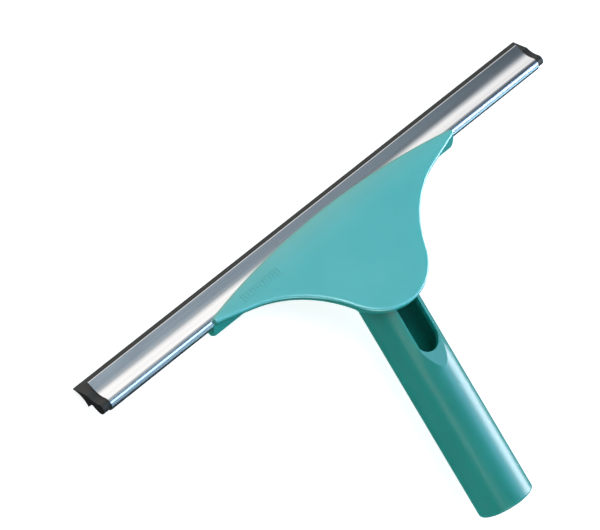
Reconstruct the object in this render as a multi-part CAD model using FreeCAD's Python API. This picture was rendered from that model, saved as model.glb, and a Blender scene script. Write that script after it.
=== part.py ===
"""Window cleaning squeegee: socket handle, clip head, front cover, metal rail and rubber blade.

Two frames are used, both in millimetres.
  Row frame:  origin at the centre of the socket's mouth, +Y along the handle to the blade,
              +Z out of the front face, +X along the blade.
  Head frame: origin just inside the blade's wiping edge, +X along the blade, -Y across the
              rail towards the handle, +Z square to the rail's flat front face.
The rail leans back from the handle by HEAD_TILT, so the head frame is the row frame turned
about X and moved to the wiping edge.
"""
import FreeCAD, Part
import math
import os

V = FreeCAD.Vector
X_AXIS = V(1, 0, 0)
Y_AXIS = V(0, 1, 0)
Z_AXIS = V(0, 0, 1)

# ---------------------------------------------------------------- driving dimensions
HEAD_TILT = 21.6            # degrees between the handle's axis and the rail's face
EDGE_Y = 183.0              # wiping edge in the row frame
EDGE_Z = -20.7

BLADE_LENGTH = 340.0
RAIL_LENGTH = 330.4
SHEET = 0.6                 # rail's sheet thickness
SLIDE_GAP = 0.15            # clearance between the rubber and the rail
FIT_GAP = 0.1               # clearance between the clamped parts

EDGE_REACH = 0.35           # rounded wiping edge, beyond the head frame's origin
EDGE_ROUND = 0.35

BEAD_Y = -16.6              # centre of the rolled channel that holds the rubber's bead
BEAD_Z = 6.15
CHANNEL_R = 3.65            # outer radius of the rolled channel
FLAT_Z = 6.3                # outer face of the rail's flat front
SWEEP_R = 10.0              # hollow bend between the flat front and the channel
LIP_Y = -2.5                # folded front lip
HEM_LENGTH = 3.2            # how far the lip is folded back
BACK_WALL_Y = -12.4         # free edge of the rail's short back wall
BACK_WALL_Z = BEAD_Z - CHANNEL_R

COVER_TOP_Y = -7.6          # cover's top edge at the middle
COVER_TOP_R = 480.0         # its arch
COVER_TIP_X = 92.5
COVER_TIP_R = 2.0
LOBE_Y = -73.2              # lowest point of the cover's round lobe
LOBE_R = 32.5
WAIST_R = 68.5              # hollow side between the lobe and the arms
WAIST_X = 28.0              # where the lobe turns into the hollow side
CREST_Y = -25.0             # cover's face: straight below this line, curved above it
CREST_Z = 12.4
FACE_SLOPE = 0.072
FACE_R = 67.0
COVER_SKIN = 2.2
COVER_WALL = 1.8
COVER_DEPTH = 3.2
COVER_EDGE_R = 1.5

PANEL_X = -58.5             # small raised frame with plain ribs on the cover's left arm
PANEL_Y = -18.4
PANEL_LENGTH = 27.0
PANEL_WIDTH = 4.4
PANEL_LINE = 0.5
PANEL_RISE = 0.25
PANEL_RIBS = 11
PANEL_RIB_WIDTH = 2.2

PLATE_TOP = 2.4             # depths below the cover's face
PLATE_BACK = 4.8
RIM_BACK = 6.6
PLATE_INSET = 2.0           # insets from the cover's outline
RIM_INSET = 3.2
RIM_WALL = 1.8
RIM_ROOT = 0.5              # how far the rim and ribs run into the plate
PLATE_JOIN = 2.0            # how far the plate runs into the clip bar
RIB_TURN = 28.0             # stiffening ribs, in degrees from +X
RIB_START = (8.0, -72.0)
RIB_LENGTH = 90.0

BAR_HALF = 93.0             # clip bar behind the rail
BAR_BACK_Y = -23.3
BAR_LIP_Y = -12.9
BAR_TOP_Y = -19.2           # the back wall slopes in to here at its top
BAR_TOP_Z = 9.4
BAR_FLOOR_Z = 0.2
BAR_ROUND = 2.2
BAR_CORNER_R = 2.6

TUBE_MOUTH_R = 15.65
TUBE_TOP_R = 15.5
TUBE_TOP_Y = 165.0
FREE_END_Y = 109.0          # the handle is a whole round tube up to here
BORE_R = 12.7
BORE_DEPTH = 128.0
BULKHEAD = 2.5
CORE_R = 11.6               # hollow above the bulkhead
MOUTH_ROUND = 1.3

WINDOW_WIDTH = 15.2
WINDOW_START_Y = 91.4
WINDOW_END_Y = 126.5
RAMP_START_Y = 82.0
RAMP_DEPTH = 1.6

SCREW_SPOTS = [(-42.0, -30.0), (42.0, -30.0), (-19.5, -57.0), (19.5, -57.0)]
SHANK_R = 1.5
HEAD_R = 3.0
HEAD_HEIGHT = 2.0
BOSS_R = 3.1                # cover's boss
BOSS_DEPTH = 6.6
CUP_R = 4.6                 # head's cup round each boss
CUP_FLOOR = 1.6
SCREW_LENGTH = 7.0
SHANK_GAP = 0.05
HEAD_ROUND = 0.8
DRIVE_LENGTH = 3.4          # cross recess in the screw's head
DRIVE_WIDTH = 0.8
DRIVE_DEPTH = 1.2

OVERCUT = 1.0               # how far a cut reaches past what it cuts
TALL = 80.0                 # height of trimming columns
WIDE = 130.0                # their half width
FRONT_REACH = 20.0          # past the front of the handle


# ---------------------------------------------------------------- helpers
def to_row(shape):
    """Move a shape from the head frame to the row frame."""
    moved = shape.copy()
    moved.rotate(V(0, 0, 0), X_AXIS, -HEAD_TILT)
    moved.translate(V(0, EDGE_Y, EDGE_Z))
    return moved


def face_depth(y, depth):
    """Height of the surface that lies depth below the cover's face, at y in the head frame."""
    if y < CREST_Y:
        return CREST_Z + FACE_SLOPE * (CREST_Y - y) - depth
    lean = math.atan(FACE_SLOPE)
    centre_y = CREST_Y - FACE_R * math.sin(lean)
    centre_z = CREST_Z - FACE_R * math.cos(lean)
    return centre_z + math.sqrt(FACE_R ** 2 - (y - centre_y) ** 2) - depth


def column(x_low, x_high, y_low, y_high):
    """Tall upright block between two x and two y values, for trimming."""
    return Part.makeBox(x_high - x_low, y_high - y_low, TALL, V(x_low, y_low, -TALL / 2))


def slab(top_depth, bottom_depth):
    """Solid between two depths below the cover's face, wider than the head."""
    low_y = -110.0
    high_y = 4.0
    mid_y = (CREST_Y + high_y) / 2

    def point(y, depth):
        return V(-WIDE, y, face_depth(y, depth))

    edges = [Part.LineSegment(point(low_y, top_depth), point(CREST_Y, top_depth)).toShape(),
             Part.Arc(point(CREST_Y, top_depth), point(mid_y, top_depth),
                      point(high_y, top_depth)).toShape(),
             Part.LineSegment(point(high_y, top_depth), point(high_y, bottom_depth)).toShape(),
             Part.Arc(point(high_y, bottom_depth), point(mid_y, bottom_depth),
                      point(CREST_Y, bottom_depth)).toShape(),
             Part.LineSegment(point(CREST_Y, bottom_depth), point(low_y, bottom_depth)).toShape(),
             Part.LineSegment(point(low_y, bottom_depth), point(low_y, top_depth)).toShape()]
    return Part.Face(Part.Wire(edges)).extrude(X_AXIS * 2 * WIDE)


def section(points):
    """Closed wire in the head frame's YZ plane from (y, z) points; a 4-tuple adds an arc
    through its first pair to its second pair."""
    edges = []
    start = points[0]
    for item in points[1:] + [points[0]]:
        a = V(0, *start)
        b = V(0, *item[-2:])
        if len(item) == 4:
            edges.append(Part.Arc(a, V(0, *item[:2]), b).toShape())
        elif (b - a).Length > 1e-6:
            edges.append(Part.LineSegment(a, b).toShape())
        start = item[-2:]
    return Part.Wire(edges)


def extrude_x(wire, length):
    """Centred extrusion of a YZ section along X."""
    solid = Part.Face(wire).extrude(X_AXIS * length)
    solid.translate(V(-length / 2, 0, 0))
    return solid


def on_circle(centre, radius, angle):
    """Point of a circle in (y, z) at an angle in degrees from +y towards +z."""
    turn = math.radians(angle)
    return (centre[0] + radius * math.cos(turn), centre[1] + radius * math.sin(turn))


# ---------------------------------------------------------------- rail and rubber
def sweep_bend(flat_z, bead_r, bend_r):
    """Hollow bend tangent to the flat line z = flat_z and to a bead circle.

    Returns where it leaves the flat, its middle point and where it meets the bead."""
    rise = flat_z + bend_r - BEAD_Z
    run = math.sqrt((bead_r + bend_r) ** 2 - rise ** 2)
    centre = (BEAD_Y + run, flat_z + bend_r)
    meet_angle = math.degrees(math.atan2(-rise, -run))
    start = (centre[0], flat_z)
    middle = on_circle(centre, bend_r, (meet_angle - 90.0) / 2)
    end = on_circle(centre, bend_r, meet_angle)
    return start, middle, end


def rail_section():
    """Sheet folded at the lip, flat, swept up and rolled round the bead to a short back wall."""
    outer = sweep_bend(FLAT_Z, CHANNEL_R, SWEEP_R)
    inner = sweep_bend(FLAT_Z - SHEET, CHANNEL_R - SHEET, SWEEP_R + SHEET)
    bead = (BEAD_Y, BEAD_Z)
    hem_z = FLAT_Z - 2 * SHEET
    hem_r = SHEET
    back_inner_r = BEAD_Z - BACK_WALL_Z - SHEET
    return section([
        (LIP_Y - hem_r, FLAT_Z),
        outer[0],
        (*outer[1], *outer[2]),
        (*on_circle(bead, CHANNEL_R, 180.0), BEAD_Y, BACK_WALL_Z),
        (BACK_WALL_Y, BACK_WALL_Z),
        (BACK_WALL_Y, BACK_WALL_Z + SHEET),
        (BEAD_Y, BACK_WALL_Z + SHEET),
        (*on_circle(bead, back_inner_r, 180.0), *inner[2]),
        (*inner[1], *inner[0]),
        (LIP_Y - HEM_LENGTH, FLAT_Z - SHEET),
        (LIP_Y - HEM_LENGTH, hem_z),
        (LIP_Y - hem_r, hem_z),
        (LIP_Y, FLAT_Z - SHEET, LIP_Y - hem_r, FLAT_Z)])


def make_rail():
    return to_row(extrude_x(rail_section(), RAIL_LENGTH))


def rail_envelope(gap):
    """Block that fills the rail and the rubber's place, grown by a gap, for cutting."""
    outer = sweep_bend(FLAT_Z + gap, CHANNEL_R + gap, SWEEP_R - gap)
    bead = (BEAD_Y, BEAD_Z)
    front_y = 10.0
    return extrude_x(section([
        (front_y, FLAT_Z + gap),
        outer[0],
        (*outer[1], *outer[2]),
        (*on_circle(bead, CHANNEL_R + gap, 180.0), BEAD_Y, BACK_WALL_Z - gap),
        (front_y, BACK_WALL_Z - gap)]), RAIL_LENGTH)


def make_rubber_blade():
    """Wedge with a hollow back, a pointed shoulder, a notch for the rail and a round bead."""
    bead_r = CHANNEL_R - SHEET - SLIDE_GAP
    front = sweep_bend(FLAT_Z - SHEET - SLIDE_GAP, bead_r, SWEEP_R + SHEET + SLIDE_GAP)
    bead = (BEAD_Y, BEAD_Z)
    shoulder = (-11.3, -0.6)
    notch_y = -12.0
    root_z = BACK_WALL_Z + SHEET + SLIDE_GAP
    wire = section([
        (EDGE_REACH - EDGE_ROUND, EDGE_ROUND),
        front[0],
        (*front[1], *front[2]),
        (*on_circle(bead, bead_r, 180.0), BEAD_Y, root_z),
        (notch_y, root_z),
        shoulder,
        (-6.0, 1.0, EDGE_REACH - EDGE_ROUND, -EDGE_ROUND),
        (EDGE_REACH, 0.0, EDGE_REACH - EDGE_ROUND, EDGE_ROUND)])
    return to_row(extrude_x(wire, BLADE_LENGTH))


# ---------------------------------------------------------------- cover
def tangent_point(point, centre, radius):
    """Where the line from a point touches a circle, on the side nearer the leaf's middle."""
    away = V(point[0] - centre[0], point[1] - centre[1], 0)
    turn = math.acos(radius / away.Length)
    heading = math.atan2(away.y, away.x) + turn
    return (centre[0] + radius * math.cos(heading), centre[1] + radius * math.sin(heading))


def arch_y(x):
    """Cover's arched top edge."""
    return COVER_TOP_Y - COVER_TOP_R + math.sqrt(COVER_TOP_R ** 2 - x ** 2)


def cover_outline():
    """Leaf outline: arched top, pointed arms, hollow sides and a round lobe."""
    lobe = (0.0, LOBE_Y + LOBE_R)
    turn = math.asin(WAIST_X / LOBE_R)
    waist = (WAIST_X, lobe[1] - LOBE_R * math.cos(turn))
    hollow = (waist[0] + WAIST_R * math.sin(turn), waist[1] - WAIST_R * math.cos(turn))
    tip_x = COVER_TIP_X - COVER_TIP_R
    tip_top = (tip_x, arch_y(tip_x))
    tip_low = (tip_x, tip_top[1] - 2 * COVER_TIP_R)
    touch = tangent_point(tip_low, hollow, WAIST_R)
    middle_angle = (math.atan2(touch[1] - hollow[1], touch[0] - hollow[0])
                    + math.atan2(waist[1] - hollow[1], waist[0] - hollow[0])) / 2
    hollow_mid = (hollow[0] + WAIST_R * math.cos(middle_angle),
                  hollow[1] + WAIST_R * math.sin(middle_angle))

    def p(point, side=1):
        return V(side * point[0], point[1], 0)

    edges = [Part.Arc(p(tip_top, -1), V(0, COVER_TOP_Y, 0), p(tip_top)).toShape()]
    edges.append(Part.Arc(p(waist), V(0, LOBE_Y, 0), p(waist, -1)).toShape())
    for side in (1, -1):
        tip_mid = (COVER_TIP_X, tip_top[1] - COVER_TIP_R)
        edges.append(Part.Arc(p(tip_top, side), p(tip_mid, side), p(tip_low, side)).toShape())
        edges.append(Part.LineSegment(p(tip_low, side), p(touch, side)).toShape())
        edges.append(Part.Arc(p(touch, side), p(hollow_mid, side), p(waist, side)).toShape())
    return Part.Wire(Part.__sortEdges__(edges))


def leaf_prism(inset):
    """Tall prism of the cover's outline, drawn in by an inset."""
    wire = cover_outline()
    if inset:
        wire = wire.makeOffset2D(-inset)
    prism = Part.Face(wire).extrude(Z_AXIS * TALL)
    prism.translate(V(0, 0, -TALL / 2))
    return prism


def peg(spot, radius, top_z, bottom_z):
    """Cylinder square to the rail's face at a screw's place."""
    return Part.makeCylinder(radius, top_z - bottom_z, V(spot[0], spot[1], bottom_z), Z_AXIS)


def panel_block(x, length, width):
    """Column centred on the panel's middle line."""
    return column(x - length / 2, x + length / 2, PANEL_Y - width / 2, PANEL_Y + width / 2)


def raised_panel():
    """Thin raised frame filled with evenly spaced plain ribs."""
    frame = panel_block(PANEL_X, PANEL_LENGTH, PANEL_WIDTH)
    frame = frame.cut(panel_block(PANEL_X, PANEL_LENGTH - 2 * PANEL_LINE,
                                  PANEL_WIDTH - 2 * PANEL_LINE))
    pieces = [frame]
    pitch = PANEL_LENGTH / (PANEL_RIBS + 1)
    for number in range(1, PANEL_RIBS + 1):
        x = PANEL_X - PANEL_LENGTH / 2 + number * pitch
        pieces.append(panel_block(x, PANEL_LINE, PANEL_RIB_WIDTH))
    return Part.makeCompound(pieces).common(slab(-PANEL_RISE, COVER_SKIN / 2))


def make_front_cover():
    body = leaf_prism(0).common(slab(0, COVER_DEPTH))
    rim = [edge for edge in body.Edges if on_front_rim(edge)]
    body = body.makeFillet(COVER_EDGE_R, rim)
    hollow = leaf_prism(COVER_WALL).common(slab(COVER_SKIN, COVER_DEPTH + OVERCUT))
    body = body.cut(hollow).fuse(raised_panel())
    for spot in SCREW_SPOTS:
        top = face_depth(spot[1], COVER_SKIN / 2)
        bottom = face_depth(spot[1], BOSS_DEPTH)
        body = body.fuse(peg(spot, BOSS_R, top, bottom))
        body = body.cut(peg(spot, SHANK_R, face_depth(spot[1], COVER_SKIN), bottom))
    body = body.cut(rail_envelope(FIT_GAP))
    return to_row(body)


def on_front_rim(edge):
    """True for the edges between the cover's face and its side wall."""
    middle = edge.valueAt((edge.FirstParameter + edge.LastParameter) / 2)
    return abs(middle.z - face_depth(middle.y, 0)) < 0.02 and not straight_across(edge)


def straight_across(edge):
    """True for the seam line along X where the face turns from flat to curved."""
    ends = [vertex.Point for vertex in edge.Vertexes]
    return abs(ends[0].y - ends[-1].y) < 1e-6 and abs(ends[0].y - CREST_Y) < 1e-6


# ---------------------------------------------------------------- handle body
def tube_radius(y):
    """Handle's slightly flared outer radius in the row frame."""
    return TUBE_MOUTH_R + (TUBE_TOP_R - TUBE_MOUTH_R) * y / TUBE_TOP_Y


def tube_blank():
    """Solid outside of the handle, with its rounded mouth, in the row frame."""
    r = MOUTH_ROUND
    k = r * (1 - math.sqrt(0.5))
    mouth = TUBE_MOUTH_R
    edges = [Part.LineSegment(V(0, 0, 0), V(mouth - r, 0, 0)).toShape(),
             Part.Arc(V(mouth - r, 0, 0), V(mouth - k, k, 0), V(mouth, r, 0)).toShape(),
             Part.LineSegment(V(mouth, r, 0), V(TUBE_TOP_R, TUBE_TOP_Y, 0)).toShape(),
             Part.LineSegment(V(TUBE_TOP_R, TUBE_TOP_Y, 0), V(0, TUBE_TOP_Y, 0)).toShape(),
             Part.LineSegment(V(0, TUBE_TOP_Y, 0), V(0, 0, 0)).toShape()]
    return Part.Face(Part.Wire(edges)).revolve(V(0, 0, 0), Y_AXIS, 360)


def window_cut():
    """Long window with round ends, through the front wall of the handle."""
    r = WINDOW_WIDTH / 2
    low = WINDOW_START_Y + r
    high = WINDOW_END_Y - r
    cut = Part.makeBox(WINDOW_WIDTH, high - low, FRONT_REACH, V(-r, low, 0))
    for y in (low, high):
        cut = cut.fuse(Part.makeCylinder(r, FRONT_REACH, V(0, y, 0), Z_AXIS))
    return cut


def ramp_cut():
    """Sloped flat that leads a thumb or a pole's button into the window."""
    surface = tube_radius(RAMP_START_Y)
    slope = RAMP_DEPTH / (WINDOW_START_Y - RAMP_START_Y)
    end_y = WINDOW_START_Y + WINDOW_WIDTH / 2
    end_z = surface - slope * (end_y - RAMP_START_Y)
    wire = Part.makePolygon([V(0, RAMP_START_Y, surface), V(0, end_y, end_z),
                             V(0, end_y, FRONT_REACH), V(0, RAMP_START_Y, FRONT_REACH),
                             V(0, RAMP_START_Y, surface)])
    wedge = Part.Face(wire).extrude(X_AXIS * WINDOW_WIDTH)
    wedge.translate(V(-WINDOW_WIDTH / 2, 0, 0))
    return wedge


def clip_bar():
    """Bar behind the rail, hooked round the rolled channel, with a sloped back wall."""
    r = BAR_ROUND
    k = r * (1 - math.sqrt(0.5))
    front_y = BEAD_Y - CHANNEL_R / 2
    bar = extrude_x(section([
        (BAR_LIP_Y, BAR_FLOOR_Z),
        (BAR_BACK_Y + r, BAR_FLOOR_Z),
        (BAR_BACK_Y + k, BAR_FLOOR_Z + k, BAR_BACK_Y, BAR_FLOOR_Z + r),
        (BAR_TOP_Y, BAR_TOP_Z),
        (front_y, BAR_TOP_Z),
        (front_y, BACK_WALL_Z),
        (BAR_LIP_Y, BACK_WALL_Z)]), 2 * BAR_HALF)
    bar = bar.common(slab(COVER_DEPTH + FIT_GAP, TALL / 2))
    low = BAR_BACK_Y + BAR_CORNER_R
    inner = BAR_HALF - BAR_CORNER_R
    plan = column(-BAR_HALF, BAR_HALF, low, 0).fuse(column(-inner, inner, BAR_BACK_Y, 0))
    for side in (-1, 1):
        plan = plan.fuse(Part.makeCylinder(BAR_CORNER_R, TALL, V(side * inner, low, -TALL / 2)))
    return bar.common(plan)


def behind_rail(y_high):
    """Everything on the handle's side of a line across the head."""
    return column(-WIDE, WIDE, -2 * WIDE, y_high)


def stiffening_rib(side):
    """Upright rib that fans out from the handle to one arm; side is -1 or 1."""
    rib = column(0, RIB_LENGTH, -RIM_WALL / 2, RIM_WALL / 2)
    rib.rotate(V(0, 0, 0), Z_AXIS, RIB_TURN)
    rib.translate(V(*RIB_START, 0))
    return rib if side > 0 else rib.mirror(V(0, 0, 0), X_AXIS)


def head_plate():
    """Plate inside the cover, with a raised rim and ribs on its back."""
    plate = leaf_prism(PLATE_INSET).common(slab(PLATE_TOP, PLATE_BACK))
    back = slab(PLATE_BACK - RIM_ROOT, RIM_BACK)
    plate = plate.fuse(leaf_prism(RIM_INSET).cut(leaf_prism(RIM_INSET + RIM_WALL)).common(back))
    inside = leaf_prism(RIM_INSET).common(back)
    for side in (-1, 1):
        plate = plate.fuse(stiffening_rib(side).common(inside))
    return plate.common(behind_rail(BAR_BACK_Y + PLATE_JOIN))


def cover_wall_space():
    """Room for the cover's side wall where the handle passes under the lobe."""
    ring = leaf_prism(-FIT_GAP).cut(leaf_prism(PLATE_INSET))
    return ring.common(slab(-OVERCUT, COVER_DEPTH + FIT_GAP))


def screw_cups():
    """Cups on the plate's back that take the cover's bosses and the screws' seats."""
    cups = []
    for spot in SCREW_SPOTS:
        floor = face_depth(spot[1], BOSS_DEPTH + FIT_GAP + CUP_FLOOR)
        cups.append(peg(spot, CUP_R, face_depth(spot[1] + CUP_R, PLATE_TOP), floor))
    return cups


def boss_and_shank_holes():
    """Clearance for the cover's bosses, and a hole for each screw through the cup's floor."""
    holes = []
    for spot in SCREW_SPOTS:
        floor = face_depth(spot[1], BOSS_DEPTH + FIT_GAP)
        holes.append(peg(spot, BOSS_R + FIT_GAP, face_depth(spot[1], 0), floor))
        holes.append(peg(spot, SHANK_R + FIT_GAP, floor + OVERCUT, floor - CUP_FLOOR - OVERCUT))
    return holes


def handle_tube():
    """Outside of the handle, trimmed to the underside of the cover where it meets the head."""
    below_cover = to_row(slab(PLATE_TOP, TALL).common(behind_rail(BAR_BACK_Y + PLATE_JOIN)))
    free_end = column(-WIDE, WIDE, -OVERCUT, FREE_END_Y)
    return tube_blank().common(below_cover.fuse(free_end))


def socket_bores():
    """Pole bore from the mouth, and the lighter hollow beyond its bulkhead."""
    bore = Part.makeCylinder(BORE_R, BORE_DEPTH + OVERCUT, V(0, -OVERCUT, 0), Y_AXIS)
    core_start = BORE_DEPTH + BULKHEAD
    core = Part.makeCylinder(CORE_R, TUBE_TOP_Y - core_start, V(0, core_start, 0), Y_AXIS)
    return [bore, core.common(to_row(behind_rail(BAR_BACK_Y - OVERCUT)))]


def make_handle_body():
    head = clip_bar().fuse(head_plate())
    for cup in screw_cups():
        head = head.fuse(cup)
    body = to_row(head).fuse(handle_tube())
    head_cuts = [rail_envelope(FIT_GAP), cover_wall_space()] + boss_and_shank_holes()
    for cut in socket_bores() + [window_cut(), ramp_cut()] + [to_row(cut) for cut in head_cuts]:
        body = body.cut(cut)
    return body.removeSplitter()


# ---------------------------------------------------------------- screws
def make_cover_screws():
    """Four pan-head screws, driven from behind through the head into the cover's bosses."""
    screws = []
    for spot in SCREW_SPOTS:
        seat = face_depth(spot[1], BOSS_DEPTH + FIT_GAP + CUP_FLOOR)
        shank = peg(spot, SHANK_R - SHANK_GAP, seat + SCREW_LENGTH - CUP_FLOOR, seat)
        head = peg(spot, HEAD_R, seat, seat - HEAD_HEIGHT)
        head = head.makeFillet(HEAD_ROUND, [edge for edge in head.Edges
                                            if abs(edge.CenterOfMass.z - seat + HEAD_HEIGHT) < 1e-6])
        screw = shank.fuse(head)
        for turn in (0, 90):
            slot = Part.makeBox(DRIVE_LENGTH, DRIVE_WIDTH, DRIVE_DEPTH + OVERCUT,
                                V(-DRIVE_LENGTH / 2, -DRIVE_WIDTH / 2, -OVERCUT))
            slot.rotate(V(0, 0, 0), Z_AXIS, turn)
            slot.translate(V(*spot, seat - HEAD_HEIGHT))
            screw = screw.cut(slot)
        screws.append(to_row(screw))
    return Part.makeCompound(screws)


def main():
    os.makedirs("parts", exist_ok=True)
    nodes = {"handle_body": make_handle_body(),
             "front_cover": make_front_cover(),
             "rail": make_rail(),
             "rubber_blade": make_rubber_blade(),
             "cover_screws": make_cover_screws()}
    for name, shape in nodes.items():
        shape.exportStep(f"parts/{name}.step")
        box = shape.BoundBox
        print(f"{name}: {len(shape.Solids)} solid(s), volume {shape.Volume:.0f} mm3, "
              f"x {box.XMin:.1f}..{box.XMax:.1f}, y {box.YMin:.1f}..{box.YMax:.1f}, "
              f"z {box.ZMin:.1f}..{box.ZMax:.1f}, valid {shape.isValid()}")


main()
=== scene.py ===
"""Looks for the window cleaning squeegee: materials, studio light and camera."""

import math

import bpy
from mathutils import Matrix, Vector


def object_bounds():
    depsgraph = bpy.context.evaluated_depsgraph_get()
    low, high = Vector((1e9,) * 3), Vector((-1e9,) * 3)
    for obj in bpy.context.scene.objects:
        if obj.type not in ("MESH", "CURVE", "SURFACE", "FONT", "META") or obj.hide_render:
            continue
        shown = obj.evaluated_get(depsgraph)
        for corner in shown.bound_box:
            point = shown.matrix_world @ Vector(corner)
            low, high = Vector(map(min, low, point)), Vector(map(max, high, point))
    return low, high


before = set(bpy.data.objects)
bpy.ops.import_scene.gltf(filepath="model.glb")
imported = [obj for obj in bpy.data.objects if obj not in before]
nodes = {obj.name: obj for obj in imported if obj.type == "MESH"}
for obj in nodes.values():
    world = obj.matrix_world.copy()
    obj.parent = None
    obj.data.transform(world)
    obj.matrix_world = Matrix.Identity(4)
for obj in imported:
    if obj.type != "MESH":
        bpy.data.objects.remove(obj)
cad_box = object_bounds()
scene = bpy.context.scene

# ---------------------------------------------------------------- camera and light
FOCAL_LENGTH = 207.19               # millimetres
SENSOR_WIDTH = 36.0
CAMERA_PLACE = Vector((-0.96826, 0.52252, 1.39944))
CAMERA_RIGHT = Vector((0.6554608, -0.5011732, 0.5649748))
CAMERA_UP = Vector((0.5249579, 0.8401532, 0.1362414))
CAMERA_BACK = Vector((-0.5429460, 0.2072871, 0.8137823))

HEAD_PLACE = Vector((0, 0.12, 0))   # what the softboxes face
SOFTBOX_DISTANCE = 1.6              # metres from the head
SOFTBOXES = [                       # name, azimuth, elevation, width, height, brightness, colour
    ("key_box", -18, 19, 0.64, 1.05, 8.6, (0.8, 0.81, 0.97)),
    ("sky_box", -20, 60, 0.6, 0.9, 3.6, (0.36, 0.6, 1.0)),
    ("top_box", 100, 68, 0.9, 0.8, 5.9, (0.76, 0.93, 1.0)),
    ("far_box", 46, 47, 0.54, 0.54, 0.29, (0.72, 0.88, 1.0)),
    ("front_box", -48, 32, 0.8, 0.9, 0.55, (0.5, 0.76, 1.0)),
    ("low_box", -46, 10, 0.8, 0.45, 1.6, (0.4, 0.8, 1.0)),
    ("near_box", -110, 30, 1.0, 0.7, 3.6, (0.8, 0.95, 1.0)),
    ("left_box", 195, 36, 0.3, 0.3, 3.4, (1.0, 0.85, 0.7)),
]
WALL_LIGHT = 1.25                   # far wall of the studio, which glows softly
WALL_FADE = [                       # direction's Y from 0 (near) to 1 (far), colour
    (0.40, (0.02, 0.028, 0.035)),
    (0.76, (0.03, 0.04, 0.05)),
    (0.82, (0.3, 0.33, 0.35)),
    (0.91, (1.0, 0.97, 0.94)),
]

FLOOR_SIZE = 10.0
FLOOR_CENTRE_Y = 0.1
FLOOR_DROP = 0.0005                 # below the lowest point of the squeegee
FLOOR_GREY = 0.6
FLOOR_GLOW = 0.78                   # keeps the floor nearly white

# ---------------------------------------------------------------- colour and grain
TEAL = ((0.001, 0.27, 0.22), (0.003, 0.285, 0.235))
# paler teal painted on the cover's up-facing faces: painted light on the same plastic as the
# handle
PAINTED_LIT_TEAL = ((0.05, 0.46, 0.44), (0.062, 0.475, 0.455))
STEEL = ((0.74, 0.75, 0.77), (0.86, 0.87, 0.89))
RUBBER = ((0.008, 0.009, 0.007), (0.02, 0.021, 0.018))
ZINC = ((0.5, 0.5, 0.48), (0.68, 0.68, 0.66))

FLOW_SCALE = 45.0                   # noise scales, per metre
SPECKLE_SCALE = 900.0
GRAIN_SCALE = 4200.0
CLOUD_SCALE = 700.0
STEEL_LINES = (6, 1400, 1400)       # stretched along X, the way the rail is rolled
STEEL_PATCHES = (20, 120, 120)
STEEL_SPARKLE = (700, 1900, 1900)
RUBBER_LINES = (8, 1600, 1600)
RUBBER_BLOOM = (60, 200, 200)

PAINTED_LIGHT_START = 0.66                  # normal's Z where a face starts to count as the front and gets the paler painted-light colour
PAINTED_LIGHT_FULL = 0.86
SCATTER_WEIGHT = 0.4                # light scattered under the plastic's surface
SCATTER_RADIUS = (0.6, 1.0, 1.0)
SCATTER_DEPTH = 0.006               # metres

MIX_FIRST = 6                       # the Mix node's colour sockets, which share their names
MIX_SECOND = 7
MIX_RESULT = 2


# ---------------------------------------------------------------- material helpers
class Nodes:
    """Short calls for building one material's node tree."""

    def __init__(self, name):
        self.material = bpy.data.materials.new(name)
        self.material.use_nodes = True
        self.tree = self.material.node_tree
        self.shader = self.tree.nodes["Principled BSDF"]

    def add(self, kind, **settings):
        node = self.tree.nodes.new(kind)
        for key, value in settings.items():
            setattr(node, key, value)
        return node

    def link(self, source, target):
        self.tree.links.new(source, target)

    def place(self, scale=(1, 1, 1)):
        """Object coordinates in metres, scaled."""
        mapping = self.add("ShaderNodeMapping")
        mapping.inputs["Scale"].default_value = scale
        self.link(self.add("ShaderNodeTexCoord").outputs["Object"], mapping.inputs["Vector"])
        return mapping.outputs["Vector"]

    def noise(self, vector, scale, detail=3.0, roughness=0.55):
        noise = self.add("ShaderNodeTexNoise")
        noise.inputs["Scale"].default_value = scale
        noise.inputs["Detail"].default_value = detail
        noise.inputs["Roughness"].default_value = roughness
        self.link(vector, noise.inputs["Vector"])
        return noise.outputs["Fac"]

    def spread(self, value, low, high, start=0.0, end=1.0):
        """Map a 0 to 1 value to low..high."""
        ramp = self.add("ShaderNodeMapRange")
        ramp.inputs["From Min"].default_value = start
        ramp.inputs["From Max"].default_value = end
        ramp.inputs["To Min"].default_value = low
        ramp.inputs["To Max"].default_value = high
        self.link(value, ramp.inputs["Value"])
        return ramp.outputs["Result"]

    def mix(self, factor, first, second):
        """Colour between two colours; each may be a socket or an RGB tuple."""
        mix = self.add("ShaderNodeMix", data_type="RGBA")
        self.link(factor, mix.inputs["Factor"])
        for index, colour in ((MIX_FIRST, first), (MIX_SECOND, second)):
            if isinstance(colour, tuple):
                mix.inputs[index].default_value = (*colour, 1)
            else:
                self.link(colour, mix.inputs[index])
        return mix.outputs[MIX_RESULT]

    def bump(self, height, strength, distance, under=None):
        bump = self.add("ShaderNodeBump")
        bump.inputs["Strength"].default_value = strength
        bump.inputs["Distance"].default_value = distance
        self.link(height, bump.inputs["Height"])
        if under:
            self.link(under, bump.inputs["Normal"])
        return bump.outputs["Normal"]


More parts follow.
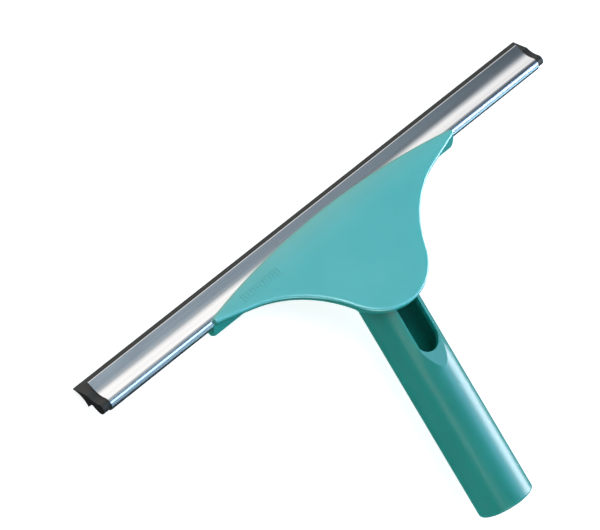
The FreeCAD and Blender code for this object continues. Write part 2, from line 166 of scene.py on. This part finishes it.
# ---------------------------------------------------------------- materials
def moulded_plastic(name, side_colours, painted_lit_colours, roughness, ior):
    """Satin polypropylene: fine grain, slight flow variation, and painted light: paler colours
    on faces turned up toward the lamps.
    """
    m = Nodes(name)
    flow = m.spread(m.noise(m.place(), FLOW_SCALE, 2.0), 0.0, 1.0, 0.35, 0.65)
    grain = m.noise(m.place(), GRAIN_SCALE, 2.0)
    speckle = m.noise(m.place(), SPECKLE_SCALE, 3.0)
    facing = m.add("ShaderNodeSeparateXYZ")
    m.link(m.add("ShaderNodeNewGeometry").outputs["Normal"], facing.inputs["Vector"])
    # painted light: faces turned up toward the lamps get the paler colours
    front = m.spread(facing.outputs["Z"], 0.0, 1.0, PAINTED_LIGHT_START, PAINTED_LIGHT_FULL)
    base = m.mix(front, m.mix(flow, *side_colours), m.mix(flow, *painted_lit_colours))
    m.link(base, m.shader.inputs["Base Color"])
    m.link(m.spread(speckle, roughness - 0.04, roughness + 0.05), m.shader.inputs["Roughness"])
    m.shader.inputs["IOR"].default_value = ior
    m.shader.inputs["Specular IOR Level"].default_value = 1.0
    m.shader.inputs["Subsurface Weight"].default_value = SCATTER_WEIGHT
    m.shader.inputs["Subsurface Radius"].default_value = SCATTER_RADIUS
    m.shader.inputs["Subsurface Scale"].default_value = SCATTER_DEPTH
    m.link(m.bump(grain, 0.12, 0.0001), m.shader.inputs["Normal"])
    return m.material


def brushed_steel():
    """Stainless strip, rolled and brushed along its length."""
    m = Nodes("rail_steel")
    lines = m.noise(m.place(STEEL_LINES), 1.0, 4.0, 0.7)
    patches = m.noise(m.place(STEEL_PATCHES), 1.0, 3.0)
    sparkle = m.noise(m.place(STEEL_SPARKLE), 1.0, 2.0)
    tone = m.mix(m.spread(lines, 0.0, 1.0, 0.3, 0.7), *STEEL)
    m.link(tone, m.shader.inputs["Base Color"])
    m.shader.inputs["Metallic"].default_value = 1.0
    m.link(m.spread(patches, 0.19, 0.25, 0.3, 0.7), m.shader.inputs["Roughness"])
    fine = m.bump(lines, 0.08, 0.00003)
    m.link(m.bump(sparkle, 0.08, 0.00002, fine), m.shader.inputs["Normal"])
    return m.material


def blade_rubber():
    """Smooth extruded rubber with faint die lines along its length and a dusty bloom."""
    m = Nodes("blade_rubber")
    lines = m.noise(m.place(RUBBER_LINES), 1.0, 3.0)
    bloom = m.noise(m.place(RUBBER_BLOOM), 1.0, 3.0)
    base = m.mix(m.spread(bloom, 0.0, 1.0, 0.3, 0.75), *RUBBER)
    m.link(base, m.shader.inputs["Base Color"])
    m.link(m.spread(bloom, 0.4, 0.58), m.shader.inputs["Roughness"])
    m.link(m.bump(lines, 0.1, 0.00005), m.shader.inputs["Normal"])
    return m.material


def zinc_plate():
    """Bright zinc on the screws, slightly uneven."""
    m = Nodes("screw_steel")
    cloud = m.noise(m.place(), CLOUD_SCALE, 3.0)
    tone = m.mix(m.spread(cloud, 0.0, 1.0, 0.3, 0.7), *ZINC)
    m.link(tone, m.shader.inputs["Base Color"])
    m.shader.inputs["Metallic"].default_value = 1.0
    m.link(m.spread(cloud, 0.22, 0.38), m.shader.inputs["Roughness"])
    return m.material


def dress(name, material):
    """Put a material on a CAD node."""
    node = nodes[name]
    node.data.materials.clear()
    node.data.materials.append(material)


# ---------------------------------------------------------------- floor, light, camera
def add_floor():
    """Plain pale floor just under the squeegee's lowest point."""
    place = (0, FLOOR_CENTRE_Y, cad_box[0].z - FLOOR_DROP)
    bpy.ops.mesh.primitive_plane_add(size=FLOOR_SIZE, location=place)
    floor = bpy.context.object
    floor.name = "floor"
    m = Nodes("floor")
    m.shader.inputs["Base Color"].default_value = (FLOOR_GREY, FLOOR_GREY, FLOOR_GREY, 1)
    m.shader.inputs["Roughness"].default_value = 1.0
    m.shader.inputs["Specular IOR Level"].default_value = 0.0
    m.shader.inputs["Emission Color"].default_value = (1, 1, 1, 1)
    m.shader.inputs["Emission Strength"].default_value = FLOOR_GLOW
    floor.data.materials.append(m.material)
    floor.visible_glossy = False


def add_softbox(name, azimuth, elevation, width, height, brightness, colour):
    """Rectangular light that faces the head; the angles are degrees from +X and from level."""
    turn = math.radians(azimuth)
    rise = math.radians(elevation)
    outward = Vector((math.cos(turn) * math.cos(rise), math.sin(turn) * math.cos(rise),
                      math.sin(rise)))
    data = bpy.data.lights.new(name, "AREA")
    data.shape = "RECTANGLE"
    data.size = width
    data.size_y = height
    data.energy = brightness * math.pi * width * height
    data.color = colour
    light = bpy.data.objects.new(name, data)
    light.location = HEAD_PLACE + outward * SOFTBOX_DISTANCE
    light.rotation_euler = outward.to_track_quat("Z", "Y").to_euler()
    scene.collection.objects.link(light)


def add_world():
    """Dim room whose far wall, beyond the blade, glows softly."""
    world = bpy.data.worlds.new("studio")
    world.use_nodes = True
    tree = world.node_tree
    direction = tree.nodes.new("ShaderNodeSeparateXYZ")
    tree.links.new(tree.nodes.new("ShaderNodeTexCoord").outputs["Generated"],
                   direction.inputs["Vector"])
    depth = tree.nodes.new("ShaderNodeMapRange")
    depth.inputs["From Min"].default_value = -1.0
    tree.links.new(direction.outputs["Y"], depth.inputs["Value"])
    fade = tree.nodes.new("ShaderNodeValToRGB")
    stops = fade.color_ramp.elements
    while len(stops) < len(WALL_FADE):
        stops.new(1.0)
    for stop, (position, colour) in zip(stops, WALL_FADE):
        stop.position = position
        stop.color = (*colour, 1)
    tree.links.new(depth.outputs["Result"], fade.inputs["Fac"])
    background = tree.nodes["Background"]
    tree.links.new(fade.outputs["Color"], background.inputs["Color"])
    background.inputs["Strength"].default_value = WALL_LIGHT
    scene.world = world


def add_camera():
    """Camera in front of the cover, to the left and above the head, looking down at it."""
    data = bpy.data.cameras.new("camera")
    data.lens = FOCAL_LENGTH
    data.sensor_width = SENSOR_WIDTH
    camera = bpy.data.objects.new("camera", data)
    scene.collection.objects.link(camera)
    turn = Matrix((CAMERA_RIGHT, CAMERA_UP, CAMERA_BACK)).transposed()
    camera.matrix_world = Matrix.Translation(CAMERA_PLACE) @ turn.to_4x4()
    scene.camera = camera


def main():
    dress("handle_body", moulded_plastic("handle_plastic", TEAL, TEAL, 0.36, 1.58))
    # the cover's up-facing faces get a paler teal: painted light
    dress("front_cover", moulded_plastic("cover_plastic", TEAL, PAINTED_LIT_TEAL, 0.32, 1.8))
    dress("rail", brushed_steel())
    dress("rubber_blade", blade_rubber())
    dress("cover_screws", zinc_plate())
    add_floor()
    add_world()
    for softbox in SOFTBOXES:
        add_softbox(*softbox)
    add_camera()
    scene.view_settings.view_transform = "Standard"


main()
